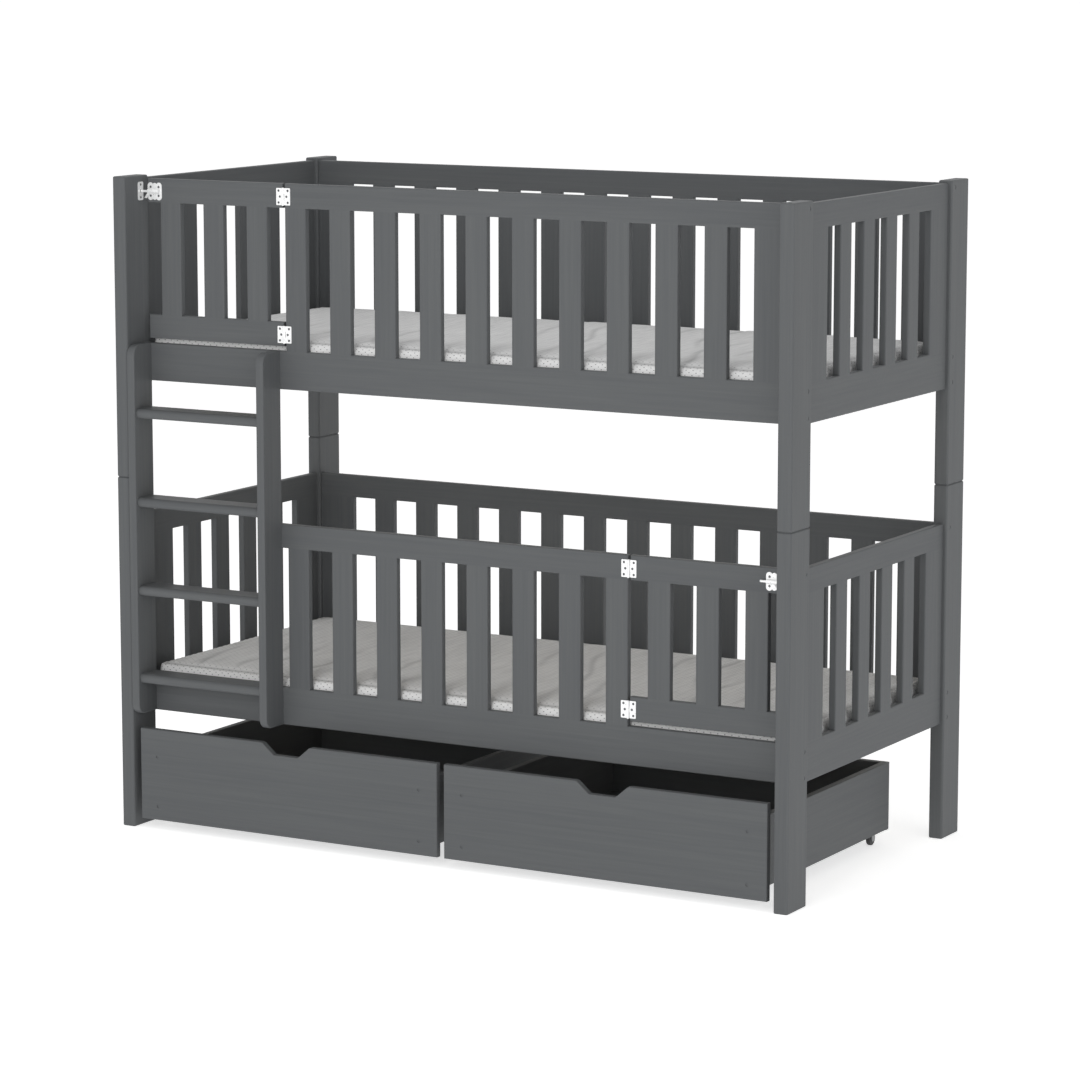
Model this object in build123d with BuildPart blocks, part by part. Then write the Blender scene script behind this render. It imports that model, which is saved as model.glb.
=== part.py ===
"""A painted pine bunk bed: two railed bunks, a fixed ladder, two roll-out drawers and two swing gates.

Millimetres, +X to the viewer's right along the bed, +Y towards the back, +Z up.
The origin is on the floor, in the middle of the bed's outline.
"""
import os
from math import cos, radians, sin

from build123d import *

# Posts
bed_length = 1880
bed_depth = 985
bed_height = 1650
post_width = 37
post_depth = 102
post_arris = 5
post_split = 897
split_chamfer = 3
foot_chamfer = 2
pin_radius = 5
pin_length = 80
pin_spacing = 50
pin_clearance = 0.1

# Guards: rails and uprights flush in one thickness
board_thickness = 18
board_arris = 3
long_setback = 74
end_setback = 10
lower_base = 293
upper_base = 1136
bottom_rail_height = 95
opening_height = 352
top_rail_height = 60
slat_width = 60
slat_gap = 68.1
long_slat_count = 14
end_slat_count = 4
tenon_thickness = 8
tenon_shoulder = 8
slat_tenon = 10
end_tenon = 12
mortise_clearance = 0.15

# Gates: each takes the place of the first slats beside a front post
gate_slat_count = 3
gate_rail_height = 60
gate_lift = 12
gate_slit = 6
gate_hinge_overhang = 47
gate_latch_overhang = 38
lower_rail_overhang = 40

# Bolts through the posts into the ends of the long rails
bolt_radius = 3
bolt_head_radius = 4.6
bolt_head_height = 5
bolt_recess = 0.8
bolt_grip = 45
bolt_edge = 16
top_bolt_edge = 10
bolt_clearance = 0.1

# Bed base and mattresses
ledger_width = 20
ledger_height = 19
base_slat_width = 70
base_slat_thickness = 18
base_slat_count = 13
base_end_margin = 22
base_clearance = 1
mattress_length = 1800
mattress_width = 800
mattress_thickness = 80
mattress_corner = 28
mattress_rim = 9
mattress_edge = 10
mattress_waist = 3
mattress_crown = 4
mattress_rise = 0.3

# Ladder
ladder_proud = 3
stringer_thickness = 22
stringer_corner = 26
stringer_arris = 3
rung_count = 4
rung_pitch = 224.7
rung_first = 92
rung_thickness = 24
rung_setback = 7
rung_nose = 10
rung_heel = 2
rung_housing = 7
housing_clearance = 0.15

# Hinges
hinge_height = 42
hinge_leaf = 20
hinge_plate = 1.6
hinge_corner = 2
knuckle_radius = 3
knuckle_gap = 0.3
hinge_pin_radius = 1.5
hinge_pin_head = 2.3
hinge_pin_cap = 1
hinge_pin_clearance = 0.05
hinge_top_inset = 32
hinge_base_inset = 29
hinge_screw_reach = 13.2
hinge_screw_near = 9.5
hinge_screw_rise = 14.5

# Latches: a plate with a barrel, a sliding bolt and a keeper in the post
latch_width = 42
latch_height = 44
latch_plate = 1.5
latch_end_gap = 1.5
latch_inset = 32
latch_lobe = 8.5
latch_middle_lobe = 6
latch_screw_reach = 12
latch_screw_rise = 11
barrel_radius = 5.5
barrel_length = 34
barrel_bore_clearance = 0.2
latch_bolt_radius = 3
latch_bolt_length = 56
latch_bolt_chamfer = 0.8
latch_bolt_gap = 0.5
latch_throw = 9
latch_draw = 16
tab_width = 7
tab_thickness = 2
tab_drop = 17
tab_lean = 12
tab_root = 26
tab_clearance = 0.5
keeper_width = 22
keeper_height = 46
keeper_plate = 1.5
keeper_corner = 5
keeper_hole_radius = 4
keeper_screw_rise = 16
keeper_bore_depth = 14

# Countersunk screws
screw_head_radius = 3
screw_head_height = 1.4
screw_shank_radius = 1.6
screw_length = 15
screw_clearance = 0.1
ladder_screw_head_radius = 5
ladder_screw_head_height = 3
ladder_screw_radius = 2.5
ladder_screw_length = 60
ladder_screw_edge = 30

# Drawers
drawer_gap = 19
drawer_between = 20
drawer_setback = 5
front_height = 234
front_base = 24
front_arris = 2
grip_top_width = 140
grip_base_width = 72
grip_depth = 29
grip_shoulder = 12
grip_fillet = 10
wall_inset = 42
wall_thickness = 18
wall_height = 172
wall_base = 37
wall_arris = 2
drawer_depth = 771
floor_thickness = 8
floor_rise = 10
groove_depth = 6
groove_clearance = 0.15
dowel_radius = 4
dowel_length = 42
dowel_edge = 22
dowel_recess = 1.2
dowel_clearance = 0.1

# Castors
wheel_radius = 17.5
wheel_width = 11
wheel_fillet = 2.5
axle_radius = 2
axle_clearance = 0.06
castor_plate_length = 36
castor_plate_width = 25
castor_plate = 2
fork_arm = 2
fork_arm_width = 15
fork_clearance = 0.8
castor_side_gap = 1
castor_front_reach = 95
castor_back_reach = 20

# Places worked out from the sizes above
total_depth = bed_depth + ladder_proud
front_y = -total_depth / 2 + ladder_proud
back_y = total_depth / 2
inner_x = bed_length / 2 - post_width
post_x = (bed_length - post_width) / 2
inner_length = 2 * inner_x
slat_pitch = slat_width + slat_gap
panel_height = bottom_rail_height + opening_height + top_rail_height
top_rail_rise = bottom_rail_height + opening_height
front_face_y = front_y + long_setback
front_inner_y = front_face_y + board_thickness
back_inner_y = back_y - long_setback - board_thickness
first_slat = (inner_length - long_slat_count * slat_width - (long_slat_count - 1) * slat_gap) / 2
gate_length = (gate_hinge_overhang + gate_latch_overhang
               + gate_slat_count * slat_width + (gate_slat_count - 1) * slat_gap)
gate_rise = bottom_rail_height + gate_lift
bases = {"lower": lower_base, "upper": upper_base}
sides = {"left": -1, "right": 1}
rows = {"front": front_y + post_depth / 2, "back": back_y - post_depth / 2}


def long_slat(index):
    """Where a slat of the long guards' shared pattern starts and ends, from the left posts.

    The first and the last are wide stiles that run on to the posts.
    """
    start = first_slat + index * slat_pitch
    end = start + slat_width
    return (0 if index == 0 else start), (inner_length if index == long_slat_count - 1 else end)


gate_start = long_slat(gate_slat_count)[0]
gate_end = long_slat(long_slat_count - gate_slat_count - 1)[1]


def rectangles(spans):
    """Draws rectangles given as their limits along and up a board."""
    for (left, right), (low, high) in spans:
        with Locations(((left + right) / 2, (low + high) / 2)):
            Rectangle(right - left, high - low)


def block(x_span, y_span, z_span, mode=Mode.ADD):
    """A block that fills three spans of the part being built."""
    middle = tuple((low + high) / 2 for low, high in (x_span, y_span, z_span))
    lengths = [high - low for low, high in (x_span, y_span, z_span)]
    with Locations(middle):
        Box(*lengths, mode=mode)


def rods(plane, centres, radius, length, mode=Mode.ADD):
    """Round rods of one size that start at a plane and run against its normal."""
    with BuildSketch(plane) as ends:
        with Locations(*centres):
            Circle(radius)
    extrude(ends.sketch, amount=-length, mode=mode)


def sunk_screws(plane, centres, head_radius, head_height, radius, length, clearance=0):
    """Countersunk screws driven in against a plane's normal, or with a clearance the bores they need."""
    with BuildPart() as screws:
        rods(plane, centres, radius + clearance, length + clearance)
        for centre in centres:
            with Locations(plane * Location((*centre, 0))):
                Cone(radius + clearance, head_radius + clearance, head_height,
                     align=(Align.CENTER, Align.CENTER, Align.MAX))
    return screws.part


def save(part, name):
    """Names a piece and writes it."""
    part.label = name
    export_step(part, f"parts/{name}.step")


def long_plane(y, base):
    """The plane of a long guard's front face, measured from the left posts and the guard's foot."""
    return Plane(origin=(-inner_x, y, base), x_dir=(1, 0, 0), z_dir=(0, -1, 0))


def end_plane(x, base):
    """The plane of an end guard's right face, measured from the front posts and the guard's foot."""
    return Plane(origin=(x, front_y + post_depth, base), x_dir=(0, 1, 0), z_dir=(1, 0, 0))


def guard(plane, rails, uprights, butts):
    """A guard's rails and uprights, tenoned together, with every free edge rounded.

    Rails and uprights are given as spans on the plane; butts are the places along the
    board where square ends meet a post.
    """
    (_, base_span), (_, top_span) = rails
    low, high = base_span[1], top_span[0]
    columns = [(span, (low, high)) for span in uprights]
    with BuildPart() as blank:
        with BuildSketch(plane):
            rectangles(rails + columns)
        extrude(amount=-board_thickness)
        outlines = []
        for face in blank.faces().filter_by(Axis((0, 0, 0), plane.z_dir)).sort_by(SortBy.AREA)[-2:]:
            for edge in face.edges():
                along = plane.to_local_coords(edge.center()).X
                if not any(abs(along - butt) < board_arris for butt in butts):
                    outlines.append(edge)
        fillet(outlines, board_arris)

    left = min(span[0] for span, _ in rails + columns)
    right = max(span[1] for span, _ in rails + columns)
    tongue = plane.offset((tenon_thickness - board_thickness) / 2)
    tenons = [((start + tenon_shoulder, end - tenon_shoulder), (low - slat_tenon, high + slat_tenon))
              for start, end in uprights]
    mortises = [((start - mortise_clearance, end + mortise_clearance),
                 (foot - mortise_clearance, head + mortise_clearance))
                for (start, end), (foot, head) in tenons]
    with BuildPart() as rail_pair:
        add(blank.part)
        with BuildSketch(plane):
            rectangles([((left, right), (low, high))])
        extrude(amount=-board_thickness, mode=Mode.SUBTRACT)
        with BuildSketch(tongue.offset(mortise_clearance)):
            rectangles(mortises)
        extrude(amount=-tenon_thickness - 2 * mortise_clearance, mode=Mode.SUBTRACT)
    with BuildPart() as upright_set:
        add(blank.part)
        with BuildSketch(plane):
            rectangles([((left, right), base_span), ((left, right), top_span)])
        extrude(amount=-board_thickness, mode=Mode.SUBTRACT)
        with BuildSketch(tongue):
            rectangles(tenons)
        extrude(amount=-tenon_thickness)
    return rail_pair.part, upright_set.part


# Fasteners that pass from one piece into another, and the bores that they need

def bolt_rises(side, row, level):
    """Heights of the bolts in one post, above the foot of the guard that they hold."""
    rises = [bolt_edge, bottom_rail_height - bolt_edge]
    gated = row == "front" and (side == "left" or level == "lower")
    return rises if gated else rises + [panel_height - top_bolt_edge]


def bolt_set(clearance=0):
    """Every bolt through the posts, with its head sunk in the post's outer face."""
    guard_y = {"front": front_face_y + board_thickness / 2, "back": back_inner_y + board_thickness / 2}
    with BuildPart() as bolts:
        for side, sign in sides.items():
            for row, y in guard_y.items():
                for level, base in bases.items():
                    outer = Plane(origin=(sign * bed_length / 2, y, base), x_dir=(0, 1, 0), z_dir=(sign, 0, 0))
                    up = outer.to_local_coords(Vector(sign * bed_length / 2, y, base + 1)).Y
                    centres = [(0, up * rise) for rise in bolt_rises(side, row, level)]
                    head = outer.offset(0 if clearance else -bolt_recess)
                    rods(head, centres, bolt_head_radius + clearance,
                         bolt_head_height + (bolt_recess if clearance else 0))
                    rods(outer.offset(-bolt_head_height), centres, bolt_radius + clearance,
                         post_width + bolt_grip - bolt_head_height + clearance)
    return bolts.part


def pin_set(clearance=0):
    """Steel pins that hold each upper post on its lower post."""
    with BuildPart() as pins:
        for sign in sides.values():
            for y in rows.values():
                centres = [(sign * post_x, y - pin_spacing / 2), (sign * post_x, y + pin_spacing / 2)]
                rods(Plane.XY.offset(post_split + pin_length / 2 + clearance), centres,
                     pin_radius + clearance, pin_length + 2 * clearance)
    return pins.part


rail_bolts = bolt_set()
bolt_bores = bolt_set(bolt_clearance)
post_pins = pin_set()
pin_bores = pin_set(pin_clearance)

# Ladder places, which the front rails' screw bores need
stringer_front = front_y - ladder_proud
stringer_base = lower_base
stringer_top = upper_base + bottom_rail_height
left_stringer_x = -inner_x
right_stringer_x = -inner_x + gate_start - lower_rail_overhang
stringers = {"left": left_stringer_x, "right": right_stringer_x}


def ladder_screw_set(clearance=0):
    """Screws from inside the front rails into the ladder's stringers."""
    back = Plane(origin=(0, front_inner_y, 0), x_dir=(1, 0, 0), z_dir=(0, 1, 0))
    rises = [base + edge for base in bases.values()
             for edge in (ladder_screw_edge, bottom_rail_height - ladder_screw_edge)]
    centres = [(x + stringer_thickness / 2, -rise) for x in stringers.values() for rise in rises]
    centres.append((right_stringer_x + stringer_thickness / 2,
                    -(lower_base + panel_height - top_rail_height / 2)))
    return sunk_screws(back, centres, ladder_screw_head_radius, ladder_screw_head_height,
                       ladder_screw_radius, ladder_screw_length, clearance)


ladder_screws = ladder_screw_set()
ladder_bores = ladder_screw_set(screw_clearance)

# Latch and hinge places, for each gate the side of its hinges that it hangs on
gate_x = {
    "upper": (-inner_x + gate_start - gate_slit - gate_length, -inner_x + gate_start - gate_slit),
    "lower": (-inner_x + gate_end + gate_slit, -inner_x + gate_end + gate_slit + gate_length),
}
swing = {"upper": -1, "lower": 1}
hinge_x = {
    "upper": gate_x["upper"][1] + gate_slit / 2,
    "lower": gate_x["lower"][0] - gate_slit / 2,
}
hinge_y = front_face_y - knuckle_radius
latch_axis_y = front_face_y - latch_plate - barrel_radius + hinge_plate / 2
latch_x = {
    "upper": gate_x["upper"][0] + latch_end_gap + latch_width / 2,
    "lower": gate_x["lower"][1] - latch_end_gap - latch_width / 2,
}


def latch_z(level):
    """Height of a latch bolt."""
    return bases[level] + panel_height - latch_inset


def hinge_heights(level):
    """Heights of the middles of a gate's two hinges."""
    return [bases[level] + gate_rise + hinge_base_inset, bases[level] + panel_height - hinge_top_inset]


def hinge_screw_centres(level, way):
    """Screw places of one gate's leaves that reach the given way from the pin."""
    pattern = ((hinge_screw_reach, hinge_screw_rise), (hinge_screw_near, 0),
               (hinge_screw_reach, -hinge_screw_rise))
    return [(hinge_x[level] + way * reach, height + rise)
            for height in hinge_heights(level) for reach, rise in pattern]


def latch_screw_centres(level):
    """Screw places of one latch plate."""
    return [(latch_x[level] + across * latch_screw_reach, latch_z(level) + up * latch_screw_rise)
            for across in (-1, 1) for up in (-1, 1)]


def hardware_screws(centres, plate, clearance=0):
    """Screws through a plate of the given thickness on the front face of the boards."""
    face = Plane(origin=(0, front_face_y - plate, 0), x_dir=(1, 0, 0), z_dir=(0, -1, 0))
    return sunk_screws(face, centres, screw_head_radius, screw_head_height,
                       screw_shank_radius, screw_length, clearance)


def keeper_screw_set(level, clearance=0):
    """The two screws of one keeper plate."""
    sign = swing[level]
    face = Plane(origin=(sign * (inner_x - keeper_plate), latch_axis_y, latch_z(level)),
                 x_dir=(0, 1, 0), z_dir=(-sign, 0, 0))
    return sunk_screws(face, [(0, -keeper_screw_rise), (0, keeper_screw_rise)], screw_head_radius,
                       screw_head_height, screw_shank_radius, screw_length, clearance)


frame_screw_parts = [ladder_screws]
gate_screw_parts = {}
hinge_bores = {}
keeper_bores = {}
for level, way in swing.items():
    frame_screw_parts.append(hardware_screws(hinge_screw_centres(level, -way), hinge_plate))
    frame_screw_parts.append(keeper_screw_set(level))
    gate_screw_parts[level] = [hardware_screws(hinge_screw_centres(level, way), hinge_plate),
                               hardware_screws(latch_screw_centres(level), latch_plate)]
    hinge_bores[level] = {
        "frame": hardware_screws(hinge_screw_centres(level, -way), hinge_plate, screw_clearance),
        "gate": hardware_screws(hinge_screw_centres(level, way), hinge_plate, screw_clearance),
        "latch": hardware_screws(latch_screw_centres(level), latch_plate, screw_clearance),
    }
    keeper_bores[level] = keeper_screw_set(level, screw_clearance)


# Posts

def post(side, row, level):
    """One post: its outline, its split face, and the mortises and bores of what it holds."""
    sign = sides[side]
    x, y = sign * post_x, rows[row]
    foot, head = (0, post_split) if level == "lower" else (post_split, bed_height)
    inward = 1 if row == "front" else -1
    tongue_x = sign * (bed_length / 2 - end_setback - board_thickness / 2)
    mortised = Plane(origin=(tongue_x, y + inward * post_depth / 2, bases[level]),
                     x_dir=(1, 0, 0), z_dir=(0, -1, 0))
    with BuildPart() as one_post:
        with BuildSketch(Plane((x, y, foot))):
            RectangleRounded(post_width, post_depth, post_arris)
        extrude(amount=head - foot)
        lower_edges = one_post.faces().sort_by(Axis.Z)[0].edges()
        upper_edges = one_post.faces().sort_by(Axis.Z)[-1].edges()
        if level == "lower":
            chamfer(lower_edges, foot_chamfer)
            chamfer(upper_edges, split_chamfer)
        else:
            chamfer(lower_edges, split_chamfer)
            fillet(upper_edges, post_arris - 1)
        with BuildSketch(mortised):
            for low, high in ((0, bottom_rail_height), (top_rail_rise, panel_height)):
                with Locations((0, (low + high) / 2)):
                    Rectangle(tenon_thickness + 2 * mortise_clearance,
                              high - low - 2 * tenon_shoulder + 2 * mortise_clearance)
        extrude(amount=inward * (end_tenon + mortise_clearance), mode=Mode.SUBTRACT)
        add(bolt_bores, mode=Mode.SUBTRACT)
        add(pin_bores, mode=Mode.SUBTRACT)
        if row == "front" and sign == swing[level]:
            add(keeper_bores[level], mode=Mode.SUBTRACT)
            inner = Plane(origin=(sign * inner_x, latch_axis_y, latch_z(level)),
                          x_dir=(0, 1, 0), z_dir=(-sign, 0, 0))
            rods(inner, [(0, 0)], keeper_hole_radius, keeper_bore_depth, mode=Mode.SUBTRACT)
        if (side, row, level) == ("right", "front", "lower"):
            spare = Plane(origin=(bed_length / 2, front_face_y + board_thickness / 2,
                                  lower_base + panel_height - top_bolt_edge),
                          x_dir=(0, 1, 0), z_dir=(1, 0, 0))
            rods(spare, [(0, 0)], bolt_head_radius, bolt_recess, mode=Mode.SUBTRACT)
    return one_post.part


os.makedirs("parts", exist_ok=True)

for level in bases:
    for side in sides:
        for row in rows:
            save(post(side, row, level), f"{level}_post_{row}_{side}")
save(Compound(children=[post_pins, rail_bolts]), "frame_bolts_and_pins")

# Long guards at the back and at the front
full_base = ((0, inner_length), (0, bottom_rail_height))
butts = (0, inner_length)
for level, base in bases.items():
    rails, slats = guard(
        long_plane(back_inner_y, base),
        [full_base, ((0, inner_length), (top_rail_rise, panel_height))],
        [long_slat(index) for index in range(long_slat_count)],
        butts)
    with BuildPart() as bored_rails:
        add(rails)
        add(bolt_bores, mode=Mode.SUBTRACT)
    save(bored_rails.part, f"{level}_back_rails")
    save(slats, f"{level}_back_slats")

front_tops = {
    "lower": (gate_start - lower_rail_overhang, gate_end),
    "upper": (gate_start, inner_length),
}
front_slats = {
    "lower": range(gate_slat_count, long_slat_count - gate_slat_count),
    "upper": range(gate_slat_count, long_slat_count),
}
for level, base in bases.items():
    rails, slats = guard(
        long_plane(front_face_y, base),
        [full_base, (front_tops[level], (top_rail_rise, panel_height))],
        [long_slat(index) for index in front_slats[level]],
        butts)
    with BuildPart() as bored_rails:
        add(rails)
        add(bolt_bores, mode=Mode.SUBTRACT)
        add(ladder_bores, mode=Mode.SUBTRACT)
        add(hinge_bores[level]["frame"], mode=Mode.SUBTRACT)
    with BuildPart() as bored_slats:
        add(slats)
        add(hinge_bores[level]["frame"], mode=Mode.SUBTRACT)
    save(bored_rails.part, f"{level}_front_rails")
    save(bored_slats.part, f"{level}_front_slats")

# End guards: slats between two wide stiles, with the rails tenoned into the posts
end_length = bed_depth - 2 * post_depth
stile_width = (end_length - end_slat_count * slat_width - (end_slat_count + 1) * slat_gap) / 2
end_uprights = [(0, stile_width), (end_length - stile_width, end_length)]
end_uprights += [(stile_width + slat_gap + index * slat_pitch,
                  stile_width + slat_gap + index * slat_pitch + slat_width)
                 for index in range(end_slat_count)]
end_rails = [((0, end_length), (0, bottom_rail_height)), ((0, end_length), (top_rail_rise, panel_height))]
end_face_x = {"left": -bed_length / 2 + end_setback + board_thickness, "right": bed_length / 2 - end_setback}
for level, base in bases.items():
    for side in sides:
        plane = end_plane(end_face_x[side], base)
        rails, slats = guard(plane, end_rails, end_uprights, (0, end_length))
        with BuildPart() as tenoned_rails:
            add(rails)
            with BuildSketch(plane.offset((tenon_thickness - board_thickness) / 2)):
                for _, (low, high) in end_rails:
                    rectangles([((-end_tenon, 0), (low + tenon_shoulder, high - tenon_shoulder)),
                                ((end_length, end_length + end_tenon),
                                 (low + tenon_shoulder, high - tenon_shoulder))])
            extrude(amount=-tenon_thickness)
        save(tenoned_rails.part, f"{level}_{side}_end_rails")
        save(slats, f"{level}_{side}_end_slats")

# Bed bases: ledgers screwed along the long rails, loose slats across them
with BuildPart() as ledgers:
    for base in bases.values():
        for near, far in ((front_inner_y, front_inner_y + ledger_width),
                          (back_inner_y - ledger_width, back_inner_y)):
            block((-inner_x, inner_x), (near, far), (base, base + ledger_height))
save(ledgers.part, "base_ledgers")

for level, base in bases.items():
    with BuildPart() as base_slats:
        run = inner_length - 2 * base_end_margin - base_slat_width
        for index in range(base_slat_count):
            start = -inner_x + base_end_margin + index * run / (base_slat_count - 1)
            block((start, start + base_slat_width),
                  (front_inner_y + base_clearance, back_inner_y - base_clearance),
                  (base + ledger_height, base + ledger_height + base_slat_thickness))
        fillet(base_slats.edges().filter_by(Axis.Y), board_arris)
    save(base_slats.part, f"{level}_base_slats")


def mattress(base):
    """A boxed foam mattress: soft edges, sides drawn in at half height, and a low crown."""
    low = base + ledger_height + base_slat_thickness + mattress_rise
    top = low + mattress_thickness
    edge = mattress_edge
    rim = mattress_thickness - mattress_crown
    sections = [
        (0, edge), (edge * (1 - cos(radians(45))), edge * (1 - sin(radians(45)))), (edge, 0),
        (rim / 2, mattress_waist), (rim - edge, 0),
        (rim - edge * (1 - cos(radians(45))), edge * (1 - sin(radians(45)))), (rim, edge),
        (rim + mattress_crown * 0.7, edge * 8), (mattress_thickness, mattress_width / 4),
    ]
    y = (front_inner_y + back_inner_y) / 2
    with BuildPart() as pad:
        for rise, inset in sections:
            with BuildSketch(Plane((0, y, min(low + rise, top)))):
                RectangleRounded(mattress_length - 2 * inset, mattress_width - 2 * inset, mattress_corner)
        loft(ruled=True)
    return pad.part


for level, base in bases.items():
    save(mattress(base), f"{level}_mattress")

# Ladder: stringers against the front rails, with rungs housed in them
stringer_depth = front_face_y - stringer_front
rung_heights = [stringer_base + rung_first + index * rung_pitch for index in range(rung_count)]


def rung_set(clearance=0):
    """The rungs, round-nosed boards, or with a clearance the housings that hold them."""
    start = left_stringer_x + stringer_thickness - rung_housing - clearance
    length = right_stringer_x + rung_housing + clearance - start
    profile = Plane(origin=(start, stringer_front, 0), x_dir=(0, 1, 0), z_dir=(1, 0, 0))
    with BuildPart() as rungs:
        with BuildSketch(profile):
            for height in rung_heights:
                with Locations(((rung_setback + stringer_depth) / 2, height)):
                    Rectangle(stringer_depth - rung_setback + 2 * clearance, rung_thickness + 2 * clearance)
        extrude(amount=length)
        long_edges = rungs.edges().filter_by(Axis.X).group_by(Axis.Y)
        fillet(long_edges[0], rung_nose)
        if not clearance:
            fillet(rungs.edges().filter_by(Axis.X).group_by(Axis.Y)[-1], rung_heel)
    return rungs.part


with BuildPart() as housings:
    add(rung_set(housing_clearance))

stringer_parts = []
for x in stringers.values():
    profile = Plane(origin=(x, stringer_front, stringer_base), x_dir=(0, 1, 0), z_dir=(1, 0, 0))
    with BuildPart() as stringer:
        with BuildSketch(profile) as outline:
            rectangles([((0, stringer_depth), (0, stringer_top - stringer_base))])
            fillet(outline.vertices().group_by(Axis.X)[0], stringer_corner)
        extrude(amount=stringer_thickness)
        broad = stringer.faces().filter_by(Axis.X)
        back = stringer.faces().sort_by(Axis.Y)[-1].edges()
        fillet([edge for face in broad for edge in face.edges() if edge not in back], stringer_arris)
        add(housings.part, mode=Mode.SUBTRACT)
        add(ladder_bores, mode=Mode.SUBTRACT)
    stringer_parts.append(stringer.part)
save(Compound(children=stringer_parts), "ladder_stringers")
save(rung_set(), "ladder_rungs")


# Gates and their hinges

def knuckle_spans(height):
    """Three knuckles of one hinge, from the bottom up, with a gap between neighbours."""
    third = hinge_height / 3
    low = height - hinge_height / 2
    return [(low + index * third + (knuckle_gap / 2 if index else 0),
             low + (index + 1) * third - (knuckle_gap / 2 if index < 2 else 0)) for index in range(3)]


def leaves(level, way, owned):
    """One gate's hinge leaves that reach the given way from the pin, with the knuckles they own."""
    x = hinge_x[level]
    near, far = sorted((x, x + way * hinge_leaf))
    with BuildPart() as pair:
        for height in hinge_heights(level):
            face = Plane(origin=(0, front_face_y, 0), x_dir=(1, 0, 0), z_dir=(0, -1, 0))
            with BuildSketch(face) as plate:
                rectangles([((near, far), (height - hinge_height / 2, height + hinge_height / 2))])
                fillet(plate.vertices().group_by(Axis.X)[-1 if way > 0 else 0], hinge_corner)
            extrude(amount=hinge_plate)
            spans = knuckle_spans(height)
            for index, (low, high) in enumerate(spans):
                if index in owned:
                    rods(Plane((x, hinge_y, high)), [(0, 0)], knuckle_radius, high - low)
                else:
                    reach = knuckle_radius + knuckle_gap
                    block((x - reach, x + reach), (front_face_y - hinge_plate, front_face_y),
                          (low - knuckle_gap, high + knuckle_gap), mode=Mode.SUBTRACT)
            rods(Plane((x, hinge_y, spans[-1][1])), [(0, 0)], hinge_pin_radius + hinge_pin_clearance,
                 hinge_height, mode=Mode.SUBTRACT)
    return pair.part


frame_leaf_parts = []
with BuildPart() as hinge_pins:
    for level in swing:
        for height in hinge_heights(level):
            top = height + hinge_height / 2
            rods(Plane((hinge_x[level], hinge_y, top)), [(0, 0)], hinge_pin_radius, hinge_height)
            for cap in (top + hinge_pin_cap, top - hinge_height):
                rods(Plane((hinge_x[level], hinge_y, cap)), [(0, 0)], hinge_pin_head, hinge_pin_cap)
save(hinge_pins.part, "hinge_pins")

for level, way in swing.items():
    with BuildPart() as frame_leaves:
        add(leaves(level, -way, (0, 2)))
        add(hinge_bores[level]["frame"], mode=Mode.SUBTRACT)
    frame_leaf_parts.append(frame_leaves.part)
    with BuildPart() as gate_leaves:
        add(leaves(level, way, (1,)))
        add(hinge_bores[level]["gate"], mode=Mode.SUBTRACT)
    save(gate_leaves.part, f"{level}_gate_hinge_leaves")

    left = gate_x[level][0] + inner_x
    overhang = gate_latch_overhang if way < 0 else gate_hinge_overhang
    starts = [left + overhang + index * slat_pitch for index in range(gate_slat_count)]
    rails, slats = guard(
        long_plane(front_face_y, bases[level]),
        [((left, left + gate_length), (gate_rise, gate_rise + gate_rail_height)),
         ((left, left + gate_length), (top_rail_rise, panel_height))],
        [(start, start + slat_width) for start in starts],
        ())
    with BuildPart() as gate_rails:
        add(rails)
        add(hinge_bores[level]["gate"], mode=Mode.SUBTRACT)
        add(hinge_bores[level]["latch"], mode=Mode.SUBTRACT)
    with BuildPart() as gate_slats:
        add(slats)
        add(hinge_bores[level]["latch"], mode=Mode.SUBTRACT)
    save(gate_rails.part, f"{level}_gate_rails")
    save(gate_slats.part, f"{level}_gate_slats")
    save(Compound(children=gate_screw_parts[level]), f"{level}_gate_screws")
save(Compound(children=frame_leaf_parts), "hinge_frame_leaves")
save(Compound(children=frame_screw_parts), "frame_screws")


# Latches

def latch_case(level):
    """A lobed plate with a raised barrel, slotted underneath for the bolt's tab."""
    x, z, way = latch_x[level], latch_z(level), swing[level]
    face = Plane(origin=(x, front_face_y, z), x_dir=(1, 0, 0), z_dir=(0, -1, 0))
    along = Plane(origin=(x + barrel_length / 2, latch_axis_y, z), x_dir=(0, 1, 0), z_dir=(1, 0, 0))
    corner_x, corner_z = latch_width / 2 - latch_lobe, latch_height / 2 - latch_lobe
    slot_start, slot_end = sorted((tab_place(level, latch_throw), tab_place(level, -latch_draw)))
    with BuildPart() as case:
        with BuildSketch(face):
            Rectangle(latch_width, 2 * corner_z)
            with Locations(*[(a * corner_x, b * corner_z) for a in (-1, 1) for b in (-1, 1)]):
                Circle(latch_lobe)
            with Locations((0, latch_height / 2 - latch_middle_lobe - 1),
                           (0, 1 + latch_middle_lobe - latch_height / 2)):
                Circle(latch_middle_lobe)
        extrude(amount=latch_plate)
        rods(along, [(0, 0)], barrel_radius, barrel_length)
        block((x - barrel_length / 2, x + barrel_length / 2), (latch_axis_y, front_face_y - latch_plate),
              (z - barrel_radius, z + barrel_radius))
        rods(along.offset((latch_width - barrel_length) / 2), [(0, 0)],
             latch_bolt_radius + barrel_bore_clearance, latch_width, mode=Mode.SUBTRACT)
        slit = tab_thickness / 2 + tab_clearance
        block((slot_start - tab_clearance, slot_end + tab_clearance),
              (latch_axis_y - slit, latch_axis_y + slit), (z - 2 * barrel_radius, z), mode=Mode.SUBTRACT)
        add(hinge_bores[level]["latch"], mode=Mode.SUBTRACT)
    return case.part


def bolt_tip(level):
    """Where the bolt's tip stands, with the upper bolt at its keeper and the lower one drawn back."""
    way = swing[level]
    at_keeper = way * (inner_x - keeper_plate - latch_bolt_gap)
    return at_keeper if level == "upper" else at_keeper - way * latch_draw


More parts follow.
